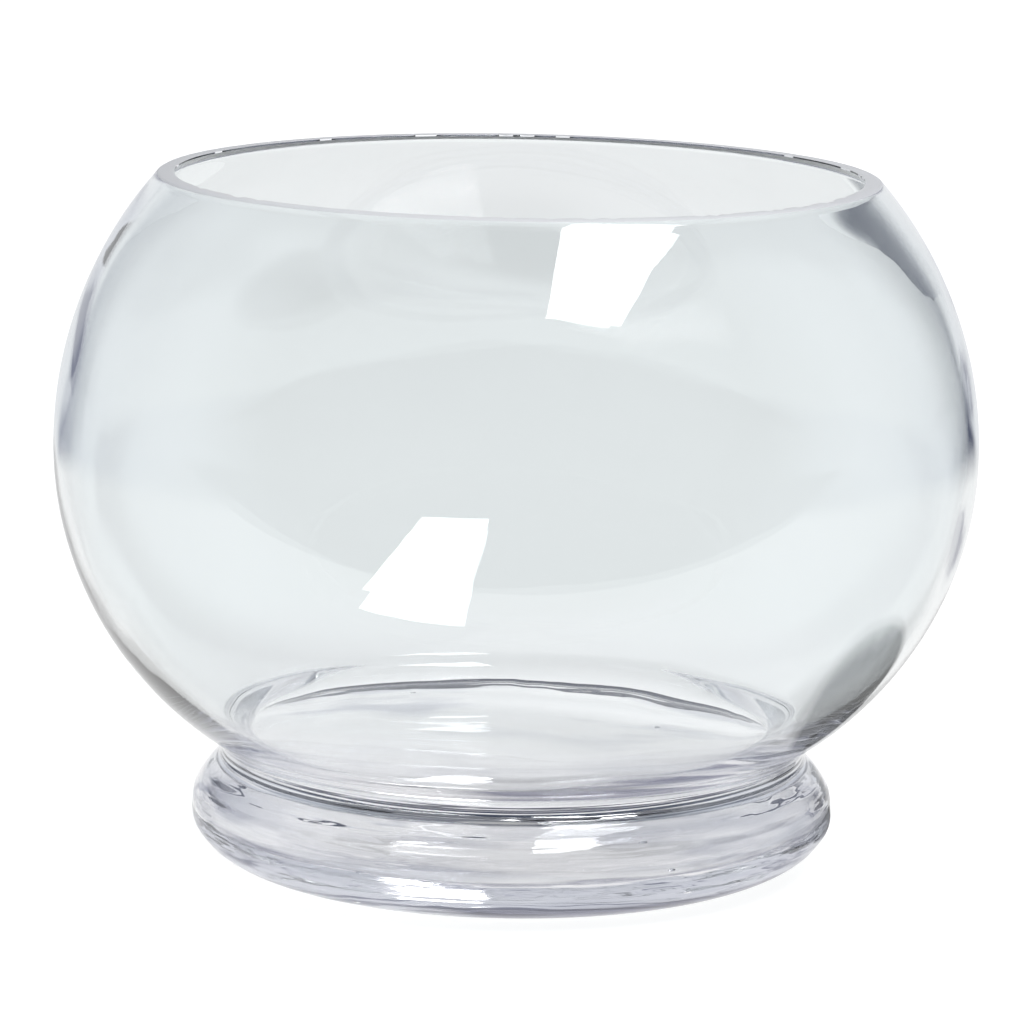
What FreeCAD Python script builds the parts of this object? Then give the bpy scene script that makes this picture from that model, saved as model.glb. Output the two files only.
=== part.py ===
"""Rose bowl vase of clear blown glass: a round bowl joined hot to a hollow rolled foot.

Frame: +Z up, the origin is the centre of the flat base, and the vase stands on z = 0.
Both pieces are turned round Z. A point of a section is (radius, height), in millimetres.
"""
import FreeCAD, Part

import math
import os

# Overall heights
vase_height = 190.0
bowl_middle_height = 116.0
foot_middle_height = 15.5

# Bowl
bowl_diameter = 251.6
bowl_wall = 2.9

# Ground rim
rim_diameter = 195.2
rim_land_width = 4.7
rim_bevel = 0.4

# Neck, where the bowl and the foot are joined
neck_diameter = 159.8
neck_groove_radius = 4.5
neck_wall = 7.9
neck_ridge_radius = 4.6

# Foot
foot_overhang = 8.3
foot_roll_radius = 15.8
foot_wall = 2.9
foot_heel_reach = 26.0
floor_thickness = 7.0
floor_heel_reach = 20.0

# A quarter circle drawn by three poles has this weight on the middle one
quarter_weight_share = math.sqrt(0.5)
MIDDLE_POLE = 2

# Directions in a section: away from the axis, and towards it
OUTWARD = 0.0
INWARD = math.radians(180)

ORIGIN = FreeCAD.Vector(0, 0, 0)
UP = FreeCAD.Vector(0, 0, 1)
FULL_TURN_DEGREES = 360


def point(place):
    """The point of a section, in the XZ plane."""
    radius, height = place
    return FreeCAD.Vector(radius, 0, height)


def line(start, end):
    return Part.LineSegment(point(start), point(end)).toShape()


def on_circle(centre, radius, angle):
    return (centre[0] + radius * math.cos(angle), centre[1] + radius * math.sin(angle))


def arc(centre, radius, start_angle, end_angle):
    """Arc of a circle, from one direction to another."""
    angles = (start_angle, (start_angle + end_angle) / 2, end_angle)
    return Part.Arc(*[point(on_circle(centre, radius, angle)) for angle in angles]).toShape()


def quarter(level_end, upright_end):
    """Quarter ellipse that is level at one end and upright at the other."""
    corner = (upright_end[0], level_end[1])
    curve = Part.BezierCurve()
    curve.setPoles([point(level_end), point(corner), point(upright_end)])
    curve.setWeight(MIDDLE_POLE, quarter_weight_share)
    return curve.toShape()


def direction(start, end):
    return math.atan2(end[1] - start[1], end[0] - start[0])


def shoulder_circle(widest, end):
    """Circle that is upright at the widest point and passes through the end."""
    rise, draw_in = end[1] - widest[1], widest[0] - end[0]
    radius = (rise ** 2 + draw_in ** 2) / (2 * draw_in)
    return (widest[0] - radius, widest[1]), radius


def lower_circle(widest, round_centre, round_radius):
    """Circle that is upright at the widest point and touches a round from outside."""
    drop, reach = widest[1] - round_centre[1], round_centre[0] - widest[0]
    radius = (reach ** 2 + drop ** 2 - round_radius ** 2) / (2 * (round_radius - reach))
    return (widest[0] - radius, widest[1]), radius


def round_on_foot(least_radius, round_radius, roll_radius):
    """Centre of the round that touches the foot's roll and comes no nearer to the axis."""
    centre_radius = least_radius + round_radius
    reach = centre_radius - foot_roll_centre[0]
    climb = math.sqrt((roll_radius + round_radius) ** 2 - reach ** 2)
    return (centre_radius, foot_roll_centre[1] + climb)


# Places that the sizes above give
bowl_radius = bowl_diameter / 2
rim_radius = rim_diameter / 2
neck_radius = neck_diameter / 2
foot_radius = neck_radius + foot_overhang
foot_roll_centre = (foot_radius - foot_roll_radius, foot_middle_height)
cavity_roll_radius = foot_roll_radius - foot_wall

groove_centre = round_on_foot(neck_radius, neck_groove_radius, foot_roll_radius)
ridge_centre = round_on_foot(neck_radius - neck_wall, neck_ridge_radius, cavity_roll_radius)
joint_height = groove_centre[1]
ridge_joint_angle = math.pi - math.asin((joint_height - ridge_centre[1]) / neck_ridge_radius)

outer_widest = (bowl_radius, bowl_middle_height)
inner_widest = (bowl_radius - bowl_wall, bowl_middle_height)
rim_outer = (rim_radius, vase_height)
rim_inner = (rim_radius - rim_land_width, vase_height)


def rim_edges(outer_circle, inner_circle):
    """The ground rim: a flat land with a small bevel along each edge."""
    outer_below = below_rim(outer_circle)
    inner_below = below_rim(inner_circle)
    land_outer = (rim_outer[0] - rim_bevel, vase_height)
    land_inner = (rim_inner[0] + rim_bevel, vase_height)
    return [line(outer_below, land_outer), line(land_outer, land_inner), line(land_inner, inner_below)]


def below_rim(circle):
    """The point of a bowl wall that lies one bevel below the rim."""
    centre, radius = circle
    return on_circle(centre, radius, math.asin((vase_height - rim_bevel - centre[1]) / radius))


def bowl_section():
    """Closed section of the bowl, from the joint up the outside and down the inside."""
    outer_top = shoulder_circle(outer_widest, rim_outer)
    inner_top = shoulder_circle(inner_widest, rim_inner)
    outer_low = lower_circle(outer_widest, groove_centre, neck_groove_radius)
    inner_low = lower_circle(inner_widest, ridge_centre, neck_ridge_radius)
    groove_end = direction(outer_low[0], groove_centre)
    ridge_end = direction(inner_low[0], ridge_centre)
    joint_inner = on_circle(ridge_centre, neck_ridge_radius, ridge_joint_angle)
    return [
        line(joint_inner, (neck_radius, joint_height)),
        arc(groove_centre, neck_groove_radius, INWARD, groove_end + INWARD),
        arc(*outer_low, groove_end, OUTWARD),
        arc(*outer_top, OUTWARD, direction(outer_top[0], below_rim(outer_top))),
        *rim_edges(outer_top, inner_top),
        arc(*inner_top, direction(inner_top[0], below_rim(inner_top)), OUTWARD),
        arc(*inner_low, OUTWARD, ridge_end),
        arc(ridge_centre, neck_ridge_radius, ridge_end + INWARD, ridge_joint_angle),
    ]


def foot_section():
    """Closed section of the foot, from the axis along the floor, up inside and down outside."""
    cavity_side = (foot_radius - foot_wall, foot_middle_height)
    floor_edge = (cavity_side[0] - floor_heel_reach, floor_thickness)
    foot_side = (foot_radius, foot_middle_height)
    base_edge = (foot_radius - foot_heel_reach, 0)
    cavity_end = direction(foot_roll_centre, ridge_centre)
    roll_end = direction(foot_roll_centre, groove_centre)
    joint_inner = on_circle(ridge_centre, neck_ridge_radius, ridge_joint_angle)
    return [
        line((0, floor_thickness), floor_edge),
        quarter(floor_edge, cavity_side),
        arc(foot_roll_centre, cavity_roll_radius, OUTWARD, cavity_end),
        arc(ridge_centre, neck_ridge_radius, cavity_end + INWARD, ridge_joint_angle),
        line(joint_inner, (neck_radius, joint_height)),
        arc(groove_centre, neck_groove_radius, INWARD, roll_end + INWARD),
        arc(foot_roll_centre, foot_roll_radius, roll_end, OUTWARD),
        quarter(base_edge, foot_side),
        line(base_edge, (0, 0)),
        line((0, 0), (0, floor_thickness)),
    ]


def turned(edges):
    """A solid turned round Z from the edges of a closed section."""
    solid = Part.Face(Part.Wire(edges)).revolve(ORIGIN, UP, FULL_TURN_DEGREES)
    if solid.Volume < 0:
        solid.reverse()
    return solid


def write(name, solid):
    solid.exportStep(f"parts/{name}.step")
    box = solid.optimalBoundingBox()
    print(f"{name}: valid {solid.isValid()}, solids {len(solid.Solids)}, volume {solid.Volume:.0f},"
          f" z {box.ZMin:.2f} to {box.ZMax:.2f}, radius {box.XMax:.2f}")


os.makedirs("parts", exist_ok=True)
write("bowl", turned(bowl_section()))
write("foot", turned(foot_section()))
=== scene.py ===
"""Looks of a rose bowl vase of clear blown glass, on a pale floor in soft studio light."""

import math
import random

import bmesh
import bpy
from mathutils import Matrix, Vector


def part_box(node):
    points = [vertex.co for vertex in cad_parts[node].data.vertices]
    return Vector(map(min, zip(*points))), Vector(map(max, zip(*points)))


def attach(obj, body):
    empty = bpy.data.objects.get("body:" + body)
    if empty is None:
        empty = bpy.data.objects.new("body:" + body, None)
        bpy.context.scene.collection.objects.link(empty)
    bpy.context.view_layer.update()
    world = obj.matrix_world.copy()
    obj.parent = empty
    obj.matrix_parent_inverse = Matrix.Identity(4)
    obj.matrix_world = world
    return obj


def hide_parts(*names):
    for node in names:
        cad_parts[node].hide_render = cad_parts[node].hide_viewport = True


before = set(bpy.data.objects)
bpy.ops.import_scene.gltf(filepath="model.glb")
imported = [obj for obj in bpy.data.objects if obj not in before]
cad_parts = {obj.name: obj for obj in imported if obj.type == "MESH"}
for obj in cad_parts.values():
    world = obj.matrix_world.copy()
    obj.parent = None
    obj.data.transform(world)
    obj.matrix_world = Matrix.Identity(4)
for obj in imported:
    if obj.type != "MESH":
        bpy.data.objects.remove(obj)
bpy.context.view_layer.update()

MM = 0.001

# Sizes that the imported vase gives
bowl_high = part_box("bowl")[1]
foot_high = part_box("foot")[1]
vase_height = bowl_high.z
bowl_radius = bowl_high.x
foot_radius = foot_high.x
joint_height = foot_high.z

# Bowl
bowl_middle_height = 116.0 * MM
bowl_wall = 2.9 * MM

# Ground rim
rim_radius = 97.6 * MM
rim_land_width = 4.7 * MM
rim_bevel = 0.4 * MM
rim_inner_radius = rim_radius - rim_land_width

# Neck
neck_radius = 79.9 * MM
neck_groove_radius = 4.5 * MM
neck_wall = 7.9 * MM
neck_ridge_radius = 4.6 * MM

# Foot
foot_middle_height = 15.5 * MM
foot_roll_radius = 15.8 * MM
foot_wall = 2.9 * MM
foot_heel_reach = 26.0 * MM
floor_thickness = 7.0 * MM
floor_heel_reach = 20.0 * MM

# Rings that tools left round the foot, in mm: height, change of radius and reach along the wall
TOOLING_RINGS = ((24.5, -0.30, 4.4), (16.5, -0.30, 4.4), (9.5, -0.22, 3.6))
HOLLOW_RINGS = ((23.0, 0.40, 3.6), (16.5, 0.40, 3.4))

# Least radius at which the outside and the hollow of the foot take a ring
OUTSIDE_RINGS_FROM = neck_radius + 1.0 * MM
HOLLOW_RINGS_FROM = neck_radius - 4.0 * MM

# Slow waves of the blown walls: how far they run in and out, and how wide they are
BOWL_WAVES = (0.9 * MM, 60 * MM)
FOOT_WAVES = (0.8 * MM, 26 * MM)

# Share of the waves that the outer faces take, since they keep the size of the vase
BOWL_OUTSIDE_SHARE = 0.35
FOOT_OUTSIDE_SHARE = 0.15

# Where the waves come in, over the joint and the base, and below the rim and the joint
BOWL_WAVES_COME_IN = (joint_height + 4 * MM, joint_height + 24 * MM)
FOOT_WAVES_COME_IN = (3 * MM, 7 * MM)
BELOW_RIM = (1 * MM, 18 * MM)
BELOW_JOINT = (2 * MM, 8 * MM)

# Nicks along the inner edge of the rim, with the least and most that they reach in and drop, in mm
NICKS = 34
NICK_SEED = 7
NICK_DEPTH = (0.3, 1.1)
NICK_DROP = (0.05, 0.3)
RIM_EDGE_TOLERANCE = 0.05 * MM

# The rim was ground lower on the right: how much, how far that reaches, and from which x
RIM_DROP = 0.7 * MM
RIM_DROP_REACH = 150 * MM
RIM_DROP_FROM = 0.9 * rim_inner_radius

# Seeds in the foot: degrees from the front, then radius, height and size in mm, and stretch
SEEDS = ((-27, 86.7, 14.5, 0.45, 2.6), (-30, 80.5, 4.6, 0.5, 2.2), (24, 84.8, 23.5, 0.45, 2.8),
         (29, 86.8, 16.0, 0.5, 2.2), (33, 85.6, 9.0, 0.55, 2.4), (150, 86.7, 15.0, 0.5, 2.4),
         (200, 84.8, 22.5, 0.45, 2.4), (95, 86.6, 13.0, 0.5, 2.2))
SEED_FLATNESS = 0.7
SEED_SIDES = 12
SEED_RINGS = 8

# How finely the glass is turned
SIDES = 288
WALL_STEPS = 44
ROUND_STEPS = 18

OUTWARD = 0.0
INWARD = math.pi
QUARTER_TURN = math.pi / 2
FULL_TURN = 2 * math.pi
AXIS = (0, 0, 1)
SECTION_AXIS = (0, 1, 0)
SMOOTH_ANGLE = math.radians(35)
MERGE_DISTANCE = 0.001 * MM


# Places in a section, as (radius, height)

def direction(start, end):
    return math.atan2(end[1] - start[1], end[0] - start[0])


def on_circle(circle, angle):
    centre, radius = circle
    return (centre[0] + radius * math.cos(angle), centre[1] + radius * math.sin(angle))


def shoulder_circle(widest, end):
    """Circle that is upright at the widest point and passes through the end."""
    rise = end[1] - widest[1]
    draw_in = widest[0] - end[0]
    radius = (rise ** 2 + draw_in ** 2) / (2 * draw_in)
    return (widest[0] - radius, widest[1]), radius


def lower_circle(widest, round_centre, round_radius):
    """Circle that is upright at the widest point and touches a round from outside."""
    drop = widest[1] - round_centre[1]
    reach = round_centre[0] - widest[0]
    radius = (reach ** 2 + drop ** 2 - round_radius ** 2) / (2 * (round_radius - reach))
    return (widest[0] - radius, widest[1]), radius


def round_on_foot(least_radius, round_radius, roll_radius):
    """Round that touches the foot's roll and comes no nearer to the axis."""
    centre_radius = least_radius + round_radius
    reach = centre_radius - foot_roll_centre[0]
    climb = math.sqrt((roll_radius + round_radius) ** 2 - reach ** 2)
    return (centre_radius, foot_roll_centre[1] + climb), round_radius


def angle_at(circle, height):
    """Angle at which the outward half of a circle reaches a height."""
    centre, radius = circle
    return math.asin((height - centre[1]) / radius)


foot_roll_centre = (foot_radius - foot_roll_radius, foot_middle_height)
foot_roll = (foot_roll_centre, foot_roll_radius)
cavity_roll = (foot_roll_centre, foot_roll_radius - foot_wall)
groove = round_on_foot(neck_radius, neck_groove_radius, foot_roll_radius)
ridge = round_on_foot(neck_radius - neck_wall, neck_ridge_radius, cavity_roll[1])
ridge_joint_angle = math.pi - angle_at(ridge, joint_height)
joint_outer = (neck_radius, joint_height)

outer_widest = (bowl_radius, bowl_middle_height)
inner_widest = (bowl_radius - bowl_wall, bowl_middle_height)
outer_top = shoulder_circle(outer_widest, (rim_radius, vase_height))
inner_top = shoulder_circle(inner_widest, (rim_inner_radius, vase_height))
outer_low = lower_circle(outer_widest, *groove)
inner_low = lower_circle(inner_widest, *ridge)


# Ways into and out of a piece's mesh

def choose(piece):
    """Makes a piece the only one selected, and the active one."""
    bpy.ops.object.select_all(action="DESELECT")
    bpy.context.view_layer.objects.active = piece
    piece.select_set(True)


def edit(piece):
    """Opens a piece in edit mode with nothing selected."""
    choose(piece)
    bpy.ops.object.mode_set(mode="EDIT")
    bpy.ops.mesh.select_mode(type="VERT")
    bpy.ops.mesh.select_all(action="DESELECT")
    return bmesh.from_edit_mesh(piece.data)


def leave_edit():
    bpy.ops.object.mode_set(mode="OBJECT")


def pick(mesh, wanted):
    """Selects the points for which wanted(place) is true."""
    for vertex in mesh.verts:
        vertex.select_set(wanted(vertex.co))
    mesh.select_flush_mode()


# A section is drawn in edit mode, with its last point always selected

def draw_from(name, place):
    """A new mesh in edit mode with one point of a section."""
    bpy.ops.object.select_all(action="DESELECT")
    bpy.ops.mesh.primitive_plane_add(size=MM)
    piece = bpy.context.object
    piece.name = name
    piece.data.name = name
    bpy.ops.object.mode_set(mode="EDIT")
    bpy.ops.mesh.merge(type="CENTER")
    bpy.ops.transform.translate(value=(place[0], 0, place[1]))
    return piece


def draw_line(start, end):
    """Draws the last point out in a straight line, and returns the place where it ends."""
    step = (end[0] - start[0], 0, end[1] - start[1])
    bpy.ops.mesh.extrude_region_move(TRANSFORM_OT_translate={"value": step})
    return end


def draw_arc(circle, start_angle, end_angle, steps):
    """Spins the last point along a circle, and returns the place where it ends."""
    centre = circle[0]
    bpy.ops.mesh.spin(steps=steps, angle=end_angle - start_angle,
                      center=(centre[0], 0, centre[1]), axis=SECTION_AXIS)
    return on_circle(circle, end_angle)


def draw_quarter(level_end, upright_end, steps, from_upright=False):
    """Quarter ellipse that is level at one end and upright at the other."""
    places = []
    for step in range(steps + 1):
        turn = QUARTER_TURN * step / steps
        places.append((level_end[0] + (upright_end[0] - level_end[0]) * math.sin(turn),
                       upright_end[1] + (level_end[1] - upright_end[1]) * math.cos(turn)))
    if from_upright:
        places.reverse()
    for start, end in zip(places, places[1:]):
        draw_line(start, end)


def turn_section(piece):
    """Spins the drawn section round the axis into closed smooth glass."""
    bpy.ops.mesh.select_all(action="SELECT")
    bpy.ops.mesh.spin(steps=SIDES, angle=FULL_TURN, center=(0, 0, 0), axis=AXIS)
    bpy.ops.mesh.select_all(action="SELECT")
    bpy.ops.mesh.remove_doubles(threshold=MERGE_DISTANCE)
    bpy.ops.mesh.normals_make_consistent(inside=False)
    leave_edit()
    bpy.ops.object.shade_smooth_by_angle(angle=SMOOTH_ANGLE)
    return piece


def bowl_glass():
    """The bowl: up the outside from the joint, over the ground rim and down the inside."""
    joint_inner = on_circle(ridge, ridge_joint_angle)
    groove_end = direction(outer_low[0], groove[0])
    outer_end = angle_at(outer_top, vase_height - rim_bevel)
    inner_end = angle_at(inner_top, vase_height - rim_bevel)
    ridge_end = direction(inner_low[0], ridge[0])
    piece = draw_from("bowl_glass", joint_inner)
    draw_line(joint_inner, joint_outer)
    draw_arc(groove, INWARD, groove_end + INWARD, ROUND_STEPS)
    draw_arc(outer_low, groove_end, OUTWARD, WALL_STEPS)
    place = draw_arc(outer_top, OUTWARD, outer_end, WALL_STEPS)
    place = draw_line(place, (rim_radius - rim_bevel, vase_height))
    place = draw_line(place, (rim_inner_radius + rim_bevel, vase_height))
    draw_line(place, on_circle(inner_top, inner_end))
    draw_arc(inner_top, inner_end, OUTWARD, WALL_STEPS)
    draw_arc(inner_low, OUTWARD, ridge_end, WALL_STEPS)
    draw_arc(ridge, ridge_end + INWARD, ridge_joint_angle, ROUND_STEPS)
    return turn_section(piece)


def foot_glass():
    """The foot: out along the floor, up the inside, down the outside and in along the base."""
    cavity_side = (foot_radius - foot_wall, foot_middle_height)
    floor_edge = (cavity_side[0] - floor_heel_reach, floor_thickness)
    foot_side = (foot_radius, foot_middle_height)
    base_edge = (foot_radius - foot_heel_reach, 0)
    floor_middle = (0, floor_thickness)
    cavity_end = direction(foot_roll_centre, ridge[0])
    roll_end = direction(foot_roll_centre, groove[0])
    piece = draw_from("foot_glass", floor_middle)
    draw_line(floor_middle, floor_edge)
    draw_quarter(floor_edge, cavity_side, ROUND_STEPS)
    draw_arc(cavity_roll, OUTWARD, cavity_end, ROUND_STEPS)
    place = draw_arc(ridge, cavity_end + INWARD, ridge_joint_angle, ROUND_STEPS)
    draw_line(place, joint_outer)
    draw_arc(groove, INWARD, roll_end + INWARD, ROUND_STEPS)
    draw_arc(foot_roll, roll_end, OUTWARD, ROUND_STEPS)
    draw_quarter(base_edge, foot_side, ROUND_STEPS, from_upright=True)
    draw_line(base_edge, (0, 0))
    return turn_section(piece)


# Marks of the hand: rings, waves, nicks and seeds in the turned glass

def pull_ring(foot, height, change, reach, wanted):
    """Draws a ring of the foot's wall in or out, and its neighbours with it."""
    mesh = edit(foot)
    level = min((v.co.z for v in mesh.verts if wanted(v.co)), key=lambda z: abs(z - height))
    pick(mesh, lambda p: abs(p.z - level) < MERGE_DISTANCE and wanted(p))
    share = 1 + change / foot_radius
    bpy.ops.transform.resize(value=(share, share, 1), center_override=(0, 0, level),
                             use_proportional_edit=True, use_proportional_connected=True,
                             proportional_edit_falloff="SMOOTH", proportional_size=reach)
    leave_edit()


def outside_foot(place):
    """True on the outer face of the foot, false inside its hollow."""
    reach = math.dist((place.xy.length, place.z), foot_roll_centre)
    return reach > foot_roll_radius - foot_wall / 2 or place.z < foot_middle_height


def takes_outer_ring(place):
    return place.xy.length > OUTSIDE_RINGS_FROM and outside_foot(place)


def takes_hollow_ring(place):
    return place.xy.length > HOLLOW_RINGS_FROM and not outside_foot(place)


def tooling_rings(foot):
    """Shallow rings that the tools left round the foot, outside and in the hollow."""
    for rings, wanted in ((TOOLING_RINGS, takes_outer_ring), (HOLLOW_RINGS, takes_hollow_ring)):
        for height, change, reach in rings:
            pull_ring(foot, height * MM, change * MM, reach * MM, wanted)


def blown_waves(piece, strength, width, fade):
    """Slow waves in the wall, faded out by fade(place) where the piece has to keep its place."""
    group = piece.vertex_groups.new(name="waves")
    for vertex in piece.data.vertices:
        group.add([vertex.index], fade(vertex.co), "REPLACE")
    texture = bpy.data.textures.new(f"{piece.name}_waves", "CLOUDS")
    texture.noise_scale = width
    texture.noise_depth = 1
    choose(piece)
    bpy.ops.object.modifier_add(type="DISPLACE")
    waves = piece.modifiers[-1]
    waves.texture = texture
    waves.texture_coords = "LOCAL"
    waves.strength = strength
    waves.mid_level = 0.5
    waves.vertex_group = group.name
    bpy.ops.object.modifier_apply(modifier=waves.name)
    piece.vertex_groups.clear()


def ease(value, start, end):
    """Zero at start and one at end, level at both."""
    share = min(max((value - start) / (end - start), 0), 1)
    return share * share * (3 - 2 * share)


def radius_at(circle, height):
    """Radius of the outward half of a circle at a height."""
    centre, radius = circle
    share = min(max((height - centre[1]) / radius, -1), 1)
    return centre[0] + radius * math.cos(math.asin(share))


def wall_middle(height):
    """Radius halfway through the bowl's wall."""
    outer, inner = (outer_top, inner_top) if height > bowl_middle_height else (outer_low, inner_low)
    return (radius_at(outer, height) + radius_at(inner, height)) / 2


def bowl_fade(place):
    """The inside waves, and the outside only a little; the joint and the rim keep still."""
    inside = place.xy.length < wall_middle(place.z)
    ends = ease(place.z, *BOWL_WAVES_COME_IN) * ease(vase_height - place.z, *BELOW_RIM)
    return ends * (1.0 if inside else BOWL_OUTSIDE_SHARE)


def foot_fade(place):
    """The hollow waves, and the outside only a little; the joint and the base keep still."""
    outside = outside_foot(place) and place.z < joint_height
    below_joint = ease(joint_height - place.z, *BELOW_JOINT)
    return below_joint * (FOOT_OUTSIDE_SHARE if outside else 1.0) * ease(place.z, *FOOT_WAVES_COME_IN)


def rim_nicks(bowl):
    """Small nicks that the grinding left along the inner edge of the rim."""
    draw = random.Random(NICK_SEED)
    mesh = edit(bowl)
    edge = rim_inner_radius + rim_bevel
    ring = [v for v in mesh.verts if abs(v.co.z - vase_height) < MERGE_DISTANCE
            and abs(v.co.xy.length - edge) < RIM_EDGE_TOLERANCE]
    for vertex in draw.sample(ring, NICKS):
        out = vertex.co.xy.normalized() * draw.uniform(*NICK_DEPTH) * MM
        bpy.ops.mesh.select_all(action="DESELECT")
        vertex.select_set(True)
        bpy.ops.transform.translate(value=(out.x, out.y, -draw.uniform(*NICK_DROP) * MM))
        for face in vertex.link_faces:
            if face.calc_center_median().xy.length < edge + rim_bevel:
                face.material_index = NICK
    leave_edit()


def settle_rim(bowl):
    """Lowers the rim on the right, where it was ground a little more."""
    mesh = edit(bowl)
    pick(mesh, lambda p: p.z > vase_height - MERGE_DISTANCE and p.x > RIM_DROP_FROM)
    bpy.ops.transform.translate(value=(0, 0, -RIM_DROP), use_proportional_edit=True,
                                proportional_edit_falloff="SMOOTH", proportional_size=RIM_DROP_REACH)
    leave_edit()


def seeds(foot):
    """Seeds, the small bubbles that are left in the glass of the foot."""
    for degrees, radius, height, size, stretch in SEEDS:
        azimuth = math.radians(degrees)
        reach = radius * MM
        place = Vector((reach * math.sin(azimuth), -reach * math.cos(azimuth), height * MM))
        bpy.ops.object.select_all(action="DESELECT")
        bpy.ops.mesh.primitive_uv_sphere_add(segments=SEED_SIDES, ring_count=SEED_RINGS,
                                             radius=size * MM, location=place)
        seed = bpy.context.object
        seed.scale = (stretch, 1, SEED_FLATNESS)
        seed.rotation_euler = (0, 0, azimuth)
        bpy.ops.object.transform_apply(location=True, rotation=True, scale=True)
        bpy.ops.object.shade_smooth()
        bpy.ops.object.mode_set(mode="EDIT")
        bpy.ops.mesh.select_all(action="SELECT")
        bpy.ops.mesh.flip_normals()
        leave_edit()
        foot.select_set(True)
        bpy.context.view_layer.objects.active = foot
        bpy.ops.object.join()


# Places of the finishes in a piece's list
CLEAR, JOINT, GROUND, NICK = range(4)

GLASS_IOR = 1.52
UNBENT_IOR = 1.0
WHITE = (1, 1, 1, 1)

# Tint of the glass by height, as a share of the vase's height
GLASS_TINT = ((0.0, (0.948, 0.948, 0.960)), (0.17, (0.946, 0.947, 0.958)),
              (0.30, (0.917, 0.942, 0.943)), (1.0, (0.915, 0.941, 0.943)))

# Cords, the level streaks of denser glass in the foot: noise, tint, heights and how deep they look
CORDS = {"scale": 80.0, "detail": 3.0}
CORD_STRETCH = (0.16, 0.16, 1.6)
CORD_TINT = ((0.50, 1), (0.62, (0.74, 0.75, 0.79)))
CORD_HEIGHTS = ((0.02, 0), (0.04, 1), (0.135, 1), (0.16, 0))
CORD_DEPTH = 0.9 * MM

# Painted shade on the heel, dark in places at the front right: noise, tint, heights, direction and how far
# it goes round
HEEL_SHADE_NOISE = {"scale": 12.0}
HEEL_SHADE_TINT = ((0.35, (0.02, 0.02, 0.06)), (0.65, (0.14, 0.14, 0.21)))
HEEL_SHADE_HEIGHTS = ((0.003, 0), (0.005, 1), (0.031, 1), (0.0365, 0))
HEEL_SHADE_SIDE = (0.57 / foot_radius, -0.82 / foot_radius, 0.0)
HEEL_SHADE_SPREAD = ((0.50, 0), (0.68, 1))

# Faint streaks that the blowing left all over, and a haze of wear
STREAKS = {"scale": 42.0, "distortion": 0.6}
STREAK_STRETCH = (1.0, 1.0, 0.45)
STREAK_STRENGTH = 0.03
STREAK_DEPTH = 1.0 * MM
HAZE = {"scale": 16.0, "detail": 4.0}
HAZE_FROM = 0.45
HAZE_FULL = 0.8
HAZE_ROUGHNESS = 0.006

# Finish of the ground rim
GROUND_TONE = (0.70, 0.71, 0.73, 1)
GROUND_CLEARNESS = 0.3
GROUND_GRAIN = {"scale": 1800.0, "detail": 3.0}
GROUND_ROUGHNESS = (0.35, 0.6)
GROUND_STRENGTH = 0.4
GROUND_DEPTH = 0.05 * MM

# Finish of the nicks
NICK_TONE = (0.97, 0.98, 0.99, 1)
NICK_GRAIN = {"scale": 900.0}
NICK_ROUGHNESS = (0.15, 0.7)

# Faces of the joint and of the ground rim are told by their place and by how level they lie
LEVEL = 0.99
RATHER_LEVEL = 0.5
RIM_DEPTH = 2.5 * rim_bevel


def add_node(tree, kind, inputs=(), **settings):
    """A new node; inputs are (name, value or socket of another node)."""
    node = tree.nodes.new("ShaderNode" + kind)
    for name, value in settings.items():
        setattr(node, name, value)
    for name, value in inputs:
        if isinstance(value, bpy.types.NodeSocket):
            tree.links.new(value, node.inputs[name])
        else:
            node.inputs[name].default_value = value
    return node


def object_place(tree):
    """Place on the piece."""
    return add_node(tree, "TexCoord").outputs["Object"]


def stretched(tree, place, scale):
    return add_node(tree, "Mapping", [("Vector", place), ("Scale", scale)]).outputs["Vector"]


def noise(tree, place, scale, detail=2.0, distortion=0.0):
    """Cloudy pattern; the scale is about how many clouds lie in a metre."""
    return add_node(tree, "TexNoise", [("Vector", place), ("Scale", scale), ("Detail", detail),
                                       ("Distortion", distortion)]).outputs["Fac"]


def spread(tree, value, start=0.0, end=1.0, low=0.0, high=1.0):
    """Low where the value is start, and high where it is end."""
    return add_node(tree, "MapRange", [("Value", value), ("From Min", start), ("From Max", end),
                                       ("To Min", low), ("To Max", high)]).outputs["Result"]


def graded(tree, value, stops):
    """Colour that the value picks from stops, each a place and a colour or grey tone."""
    ramp = add_node(tree, "ValToRGB", [(0, value)])
    elements = ramp.color_ramp.elements
    while len(elements) < len(stops):
        elements.new(1.0)
    for element, (place, tone) in zip(elements, stops):
        element.position = place
        element.color = (*tone, 1) if isinstance(tone, tuple) else (tone, tone, tone, 1)
    return ramp.outputs["Color"]


def worked_out(tree, operation, first, second):
    """What a Math node makes of two values."""
    return add_node(tree, "Math", [(0, first), (1, second)], operation=operation).outputs[0]


def along(tree, place, way):
    """How far a place lies in a direction."""
    return add_node(tree, "VectorMath", [(0, place), (1, way)], operation="DOT_PRODUCT").outputs["Value"]


def tinted(tree, share, colour, tint):
    """A colour, multiplied by a tint as far as the share says; 6 and 7 are its colour sockets."""
    return add_node(tree, "Mix", [(0, share), (6, colour), (7, tint)],
                    data_type="RGBA", blend_type="MULTIPLY").outputs[2]


def bump(tree, height, strength, depth, under=None):
    """Relief from a pattern, laid over an earlier relief if there is one."""
    inputs = [("Height", height), ("Strength", strength), ("Distance", depth)]
    if under is not None:
        inputs.append(("Normal", under))
    return add_node(tree, "Bump", inputs).outputs["Normal"]


def new_glass(name, ior=GLASS_IOR):
    """A new material, its node tree and its shader."""
    material = bpy.data.materials.new(name)
    material.use_nodes = True
    tree = material.node_tree
    shader = tree.nodes["Principled BSDF"]
    shader.inputs["IOR"].default_value = ior
    return material, tree, shader


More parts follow.
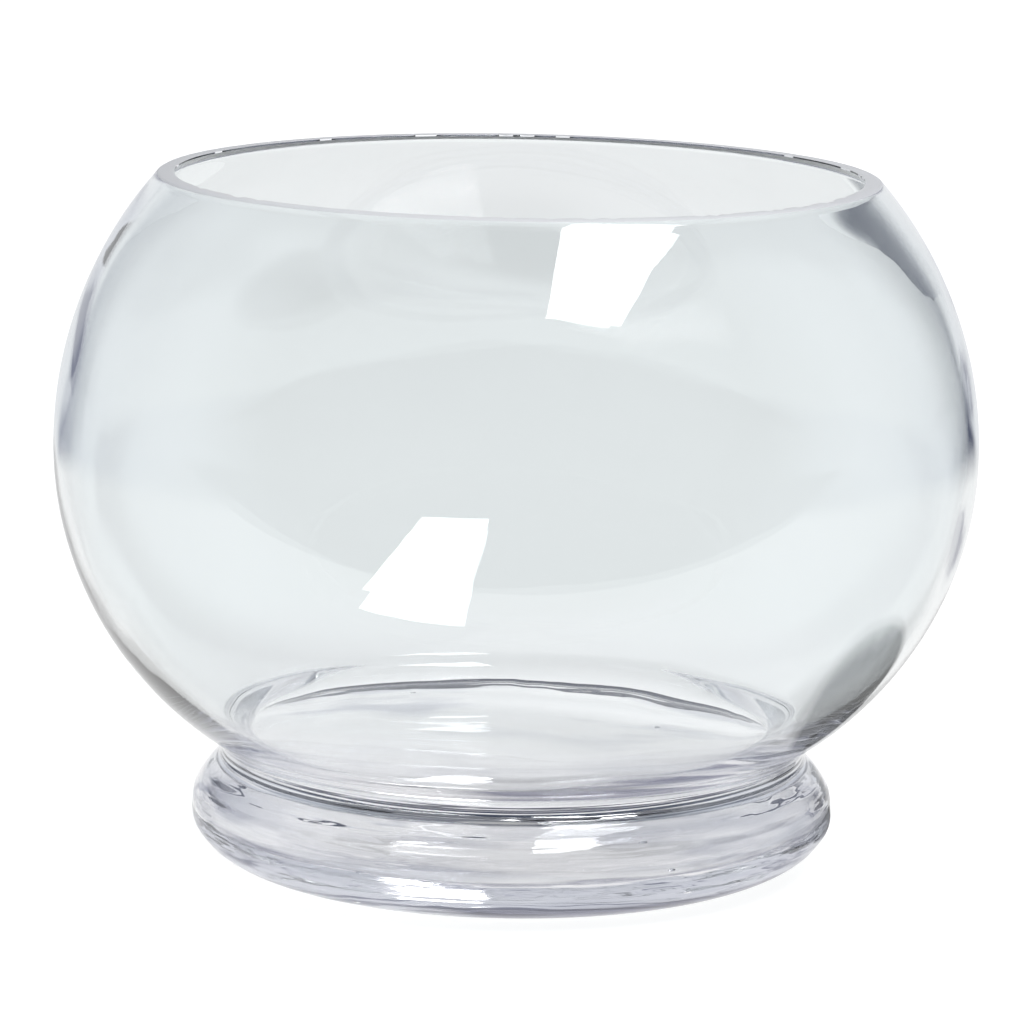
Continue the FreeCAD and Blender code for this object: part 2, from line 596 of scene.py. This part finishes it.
def clear_glass():
    """Fire polished soda glass, clearer in the foot, where it has cords, with painted shade that darkens
    the heel in places at the front right.
    """
    material, tree, shader = new_glass("clear_glass")
    shader.inputs["Transmission Weight"].default_value = 1.0
    place = object_place(tree)
    height = add_node(tree, "SeparateXYZ", [(0, place)]).outputs["Z"]
    share = spread(tree, height, end=vase_height)

    cords = noise(tree, stretched(tree, place, CORD_STRETCH), **CORDS)
    in_foot = graded(tree, share, CORD_HEIGHTS)
    # Painted shade: a dark tint over the heel in places at the front right
    heel_shade_pattern = noise(tree, place, **HEEL_SHADE_NOISE)
    shade_side = graded(tree, along(tree, place, HEEL_SHADE_SIDE), HEEL_SHADE_SPREAD)
    heel_shade_mask = worked_out(tree, "MULTIPLY", graded(tree, share, HEEL_SHADE_HEIGHTS), shade_side)
    plain = graded(tree, share, GLASS_TINT)
    corded = tinted(tree, in_foot, plain, graded(tree, cords, CORD_TINT))
    heel_shaded = tinted(tree, heel_shade_mask, corded, graded(tree, heel_shade_pattern, HEEL_SHADE_TINT))
    tree.links.new(heel_shaded, shader.inputs["Base Color"])

    haze = noise(tree, place, **HAZE)
    rough = spread(tree, haze, HAZE_FROM, HAZE_FULL, high=HAZE_ROUGHNESS)
    tree.links.new(rough, shader.inputs["Roughness"])

    streaks = noise(tree, stretched(tree, place, STREAK_STRETCH), **STREAKS)
    cord_relief = bump(tree, cords, in_foot, CORD_DEPTH)
    relief = bump(tree, streaks, STREAK_STRENGTH, STREAK_DEPTH, under=cord_relief)
    tree.links.new(relief, shader.inputs["Normal"])
    return material


def joint_glass():
    """Glass that meets glass: nothing bends or turns back there."""
    material, tree, shader = new_glass("joint_glass", UNBENT_IOR)
    shader.inputs["Base Color"].default_value = WHITE
    shader.inputs["Roughness"].default_value = 0.0
    shader.inputs["Transmission Weight"].default_value = 1.0
    return material


def ground_glass():
    """The flat rim, ground to a fine even grey."""
    material, tree, shader = new_glass("ground_glass")
    shader.inputs["Base Color"].default_value = GROUND_TONE
    shader.inputs["Transmission Weight"].default_value = GROUND_CLEARNESS
    grain = noise(tree, object_place(tree), **GROUND_GRAIN)
    rough = spread(tree, grain, 0.0, 1.0, *GROUND_ROUGHNESS)
    tree.links.new(rough, shader.inputs["Roughness"])
    tree.links.new(bump(tree, grain, GROUND_STRENGTH, GROUND_DEPTH), shader.inputs["Normal"])
    return material


def nicked_glass():
    """Fresh breaks along the ground edge, which show as white glints."""
    material, tree, shader = new_glass("nicked_glass")
    shader.inputs["Base Color"].default_value = NICK_TONE
    grain = noise(tree, object_place(tree), **NICK_GRAIN)
    rough = spread(tree, grain, 0.0, 1.0, *NICK_ROUGHNESS)
    tree.links.new(rough, shader.inputs["Roughness"])
    return material


def finish_at(centre, normal):
    """Place in the list of the finish that a face takes."""
    if abs(centre.z - joint_height) < MERGE_DISTANCE and abs(normal.z) > LEVEL:
        return JOINT
    if centre.z > vase_height - RIM_DEPTH and normal.z > RATHER_LEVEL:
        return GROUND
    return CLEAR


def finish_faces(piece, finishes):
    """Gives each face its finish, and leaves the nicks as they are."""
    for finish in finishes:
        piece.data.materials.append(finish)
    for face in piece.data.polygons:
        if face.material_index != NICK:
            face.material_index = finish_at(face.center, face.normal)


# Stage. The glass mirrors a table with a dark edge, and the room round it

FLOOR_REACH = 3.6
FLOOR_SIDES = 96
FLOOR_DROP = 0.3 * MM
TABLE_REACH = 0.62
TABLE_END = 1.4 * TABLE_REACH
TABLE_FRONT = 0.28

# Tones by distance over the floor's reach: as it is seen, dimmed by the glass, and as the glass mirrors
# it, with a painted shadow that darkens the mirrored table under the vase
FLOOR_GLOW = ((0.0, 0.97), (0.022, (0.92, 0.93, 0.93)), (0.12, 0.98), (0.17, 1))
GLOW_THROUGH_GLASS = ((0.0, 0.81), (0.36, 0.81), (0.43, 0.76))
TABLE_TONE_AND_SHADOW = ((0.0, (0.06, 0.06, 0.07)), (0.010, (0.08, 0.08, 0.09)), (0.013, (0.80, 0.80, 0.82)),
              (0.028, 1), (0.28, (0.86, 0.87, 0.88)), (1.0, (0.80, 0.82, 0.85)))

# Dark places on the right, one behind the vase and one that the glass mirrors: place and reach
DARK_BEHIND = ((0.30, 0.08, 0.0), 0.25)
DARK_BESIDE = ((0.15, 0.03, 0.0), 0.07)
DARK_TONE = ((0.0, (0.16, 0.16, 0.18)), (0.79, (0.18, 0.18, 0.20)), (0.89, 1))

# Tones of the dark in front of the table, and of light that the glass has led along its wall
BEYOND_TABLE = (0.02, 0.02, 0.03, 1)
GUIDED_TO_FLOOR = (0.20, 0.21, 0.28, 1)
GUIDED_TO_ROOM = (0.64, 0.66, 0.72, 1)

# Tones of the floor where it takes the shadow, and where it lights other things
FLOOR_TONE = (0.30, 0.30, 0.30, 1)
PLAIN_FLOOR_TONE = (0.9, 0.9, 0.9, 1)

# Reflections past which light counts as mirrored, and as led along the wall
MIRRORED_AFTER = 0.5
GUIDED_AFTER = 5.5

# Tone of the room all round: 0 and 1 lie in front, 0.25 on the left, 0.5 behind, 0.75 on the right
ROOM_ROUND = ((0.0, (0.05, 0.05, 0.06)), (0.18, (0.06, 0.06, 0.07)), (0.26, (0.60, 0.63, 0.70)),
              (0.36, (0.62, 0.65, 0.72)), (0.38, (0.30, 0.32, 0.39)), (0.408, (0.34, 0.36, 0.43)),
              (0.42, (0.80, 0.82, 0.85)), (0.50, (0.88, 0.89, 0.90)), (0.575, (0.80, 0.82, 0.85)),
              (0.59, (0.08, 0.09, 0.14)), (0.62, (0.10, 0.11, 0.16)), (0.65, (0.60, 0.63, 0.70)),
              (0.74, (0.60, 0.63, 0.70)), (0.82, (0.06, 0.06, 0.07)), (1.0, (0.05, 0.05, 0.06)))

# Brightness of the mirrored room, and tone of the sky through the glass: 0 lies below, 0.5 level, 1 above
ROOM_HEIGHT = ((0.50, 1), (0.80, 1), (0.90, 0.7), (1.0, 0.5))
SKY = ((0.492, (0.96, 0.96, 0.97)), (0.502, (0.04, 0.05, 0.09)), (0.66, (0.05, 0.06, 0.10)),
       (0.76, (0.14, 0.15, 0.19)), (0.90, (0.42, 0.43, 0.46)), (1.0, 0.6))
SKY_TILT = (0.30, 0.0, 1.0)

LAMP_PLACE = (0.69, -0.92, 2.0)
LAMP_WIDTH = 0.78
LAMP_LENGTH = 1.76
LAMP_POWER = 45

CAMERA_PLACE = (0, -1.4920, 0.3689)
CAMERA_PITCH = 0.1803
CAMERA_ROLL = 0.0132
CAMERA_YAW = 0.0006
LENS_IN_PIXELS = 5551.9
PICTURE_WIDTH = 1024
SENSOR_WIDTH = 36.0
FARTHEST_SEEN = 100.0

# Light goes a long way inside thick glass
MOST_BOUNCES = 40
MOST_PASSES = 32


def is_over(tree, value, limit):
    return worked_out(tree, "GREATER_THAN", value, limit)


def mirrored_light(tree, path):
    """One for light that some surface has mirrored on its way, or else zero."""
    return is_over(tree, path.outputs["Glossy Depth"], MIRRORED_AFTER)


def guided_light(tree, path):
    """One for light that the glass has led along its wall, mirrored many times."""
    return is_over(tree, path.outputs["Glossy Depth"], GUIDED_AFTER)


def shining(tree, colour, strength=1.0):
    return add_node(tree, "Emission", [("Color", colour), ("Strength", strength)]).outputs[0]


def sky_light(tree, colour, strength=1.0):
    return add_node(tree, "Background", [("Color", colour), ("Strength", strength)]).outputs[0]


def diffuse(tree, colour):
    return add_node(tree, "BsdfDiffuse", [("Color", colour)]).outputs[0]


def chosen(tree, share, shader, other):
    """A shader where the share is zero, and the other one where it is one."""
    return add_node(tree, "MixShader", [(0, share), (1, shader), (2, other)]).outputs[0]


def room_round(tree, place):
    """Tone of the room by direction: pale behind, dim in front, dark screens at the sides."""
    parts = add_node(tree, "SeparateXYZ", [(0, place)])
    turn = worked_out(tree, "ARCTAN2", parts.outputs["X"], parts.outputs["Y"])
    return graded(tree, spread(tree, turn, -math.pi, math.pi), ROOM_ROUND)


def dark_place(tree, place, centre, reach):
    """Tone of a round dark place on the floor: one outside it."""
    away = add_node(tree, "VectorMath", [(0, place), (1, centre)], operation="DISTANCE").outputs["Value"]
    return graded(tree, spread(tree, away, end=reach), DARK_TONE)


def mirrored_floor(tree, path, place, distance, reach):
    """What the glass mirrors of the floor: a table with a painted shadow under the vase, the room beside
    it and the dark before it.
    """
    # The mirrored table is painted dark under the vase, a painted shadow
    table = shining(tree, graded(tree, reach, TABLE_TONE_AND_SHADOW), dark_place(tree, place, *DARK_BESIDE))
    room = shining(tree, room_round(tree, place))
    sides = chosen(tree, spread(tree, distance, TABLE_REACH, TABLE_END), table, room)
    depth = add_node(tree, "SeparateXYZ", [(0, place)]).outputs["Y"]
    whole = chosen(tree, is_over(tree, depth, -TABLE_FRONT), shining(tree, BEYOND_TABLE), sides)
    return chosen(tree, guided_light(tree, path), whole, shining(tree, GUIDED_TO_FLOOR))


def floor_finish():
    """White to the eye, a little dimmer through the glass, and with a soft shadow."""
    material = bpy.data.materials.new("pale_floor")
    material.use_nodes = True
    tree = material.node_tree
    tree.nodes.clear()
    path = add_node(tree, "LightPath")
    place = object_place(tree)
    distance = add_node(tree, "VectorMath", [(0, place)], operation="LENGTH").outputs["Value"]
    reach = spread(tree, distance, end=FLOOR_REACH)

    dimmed = worked_out(tree, "MULTIPLY", dark_place(tree, place, *DARK_BEHIND),
                        graded(tree, reach, GLOW_THROUGH_GLASS))
    strength = spread(tree, path.outputs["Is Camera Ray"], low=dimmed)
    glow = shining(tree, graded(tree, reach, FLOOR_GLOW), strength)
    direct = add_node(tree, "AddShader", [(0, glow), (1, diffuse(tree, FLOOR_TONE))]).outputs[0]

    mirrored = mirrored_floor(tree, path, place, distance, reach)
    shown = chosen(tree, mirrored_light(tree, path), direct, mirrored)
    whole = chosen(tree, path.outputs["Is Diffuse Ray"], shown, diffuse(tree, PLAIN_FLOOR_TONE))
    add_node(tree, "OutputMaterial", [("Surface", whole)])
    return material


def pale_floor():
    bpy.ops.object.select_all(action="DESELECT")
    bpy.ops.mesh.primitive_circle_add(vertices=FLOOR_SIDES, radius=FLOOR_REACH, fill_type="NGON",
                                      location=(0, 0, -FLOOR_DROP))
    floor = bpy.context.object
    floor.name = "floor"
    floor.data.materials.append(floor_finish())


def studio_sky():
    """Dim above the floor, so that the glass has dark edges; the camera sees plain white."""
    world = bpy.data.worlds.new("studio_sky")
    bpy.context.scene.world = world
    world.use_nodes = True
    tree = world.node_tree
    tree.nodes.clear()
    path = add_node(tree, "LightPath")
    place = add_node(tree, "TexCoord").outputs["Generated"]

    leaning = spread(tree, along(tree, place, SKY_TILT), start=-1.0)
    through = sky_light(tree, graded(tree, leaning, SKY))

    upward = add_node(tree, "SeparateXYZ", [(0, place)]).outputs["Z"]
    height = spread(tree, upward, start=-1.0)
    room = sky_light(tree, room_round(tree, place), graded(tree, height, ROOM_HEIGHT))
    mirrored = chosen(tree, guided_light(tree, path), room, sky_light(tree, GUIDED_TO_ROOM))

    glass = chosen(tree, mirrored_light(tree, path), through, mirrored)
    whole = chosen(tree, path.outputs["Is Camera Ray"], glass, sky_light(tree, WHITE))
    add_node(tree, "OutputWorld", [("Surface", whole)])


def ceiling_light():
    """A soft box under the ceiling, in front and to the right, facing straight down."""
    bpy.ops.object.light_add(type="AREA", location=LAMP_PLACE)
    light = bpy.context.object
    light.name = "ceiling_light"
    light.data.shape = "RECTANGLE"
    light.data.size = LAMP_WIDTH
    light.data.size_y = LAMP_LENGTH
    light.data.energy = LAMP_POWER


def photo_camera():
    """The camera of the photograph: a long lens, above the rim and looking a little down."""
    camera = bpy.data.cameras.new("camera")
    camera.sensor_width = SENSOR_WIDTH
    camera.lens = LENS_IN_PIXELS / PICTURE_WIDTH * camera.sensor_width
    camera.clip_end = FARTHEST_SEEN
    holder = bpy.data.objects.new("camera", camera)
    holder.location = CAMERA_PLACE
    turn = (Matrix.Rotation(CAMERA_YAW, 3, "Z")
            @ Matrix.Rotation(QUARTER_TURN - CAMERA_PITCH, 3, "X")
            @ Matrix.Rotation(CAMERA_ROLL, 3, "Z"))
    holder.rotation_euler = turn.to_euler()
    bpy.context.scene.collection.objects.link(holder)
    bpy.context.scene.camera = holder


bowl = bowl_glass()
foot = foot_glass()
tooling_rings(foot)
blown_waves(bowl, *BOWL_WAVES, bowl_fade)
blown_waves(foot, *FOOT_WAVES, foot_fade)
rim_nicks(bowl)
settle_rim(bowl)
seeds(foot)

finishes = [clear_glass(), joint_glass(), ground_glass(), nicked_glass()]
for piece, node in ((bowl, "bowl"), (foot, "foot")):
    finish_faces(piece, finishes)
    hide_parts(node)
    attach(piece, "root")

pale_floor()
studio_sky()
ceiling_light()
photo_camera()

scene = bpy.context.scene
scene.view_settings.view_transform = "Standard"
scene.cycles.max_bounces = MOST_BOUNCES
scene.cycles.glossy_bounces = MOST_BOUNCES
scene.cycles.transmission_bounces = MOST_PASSES
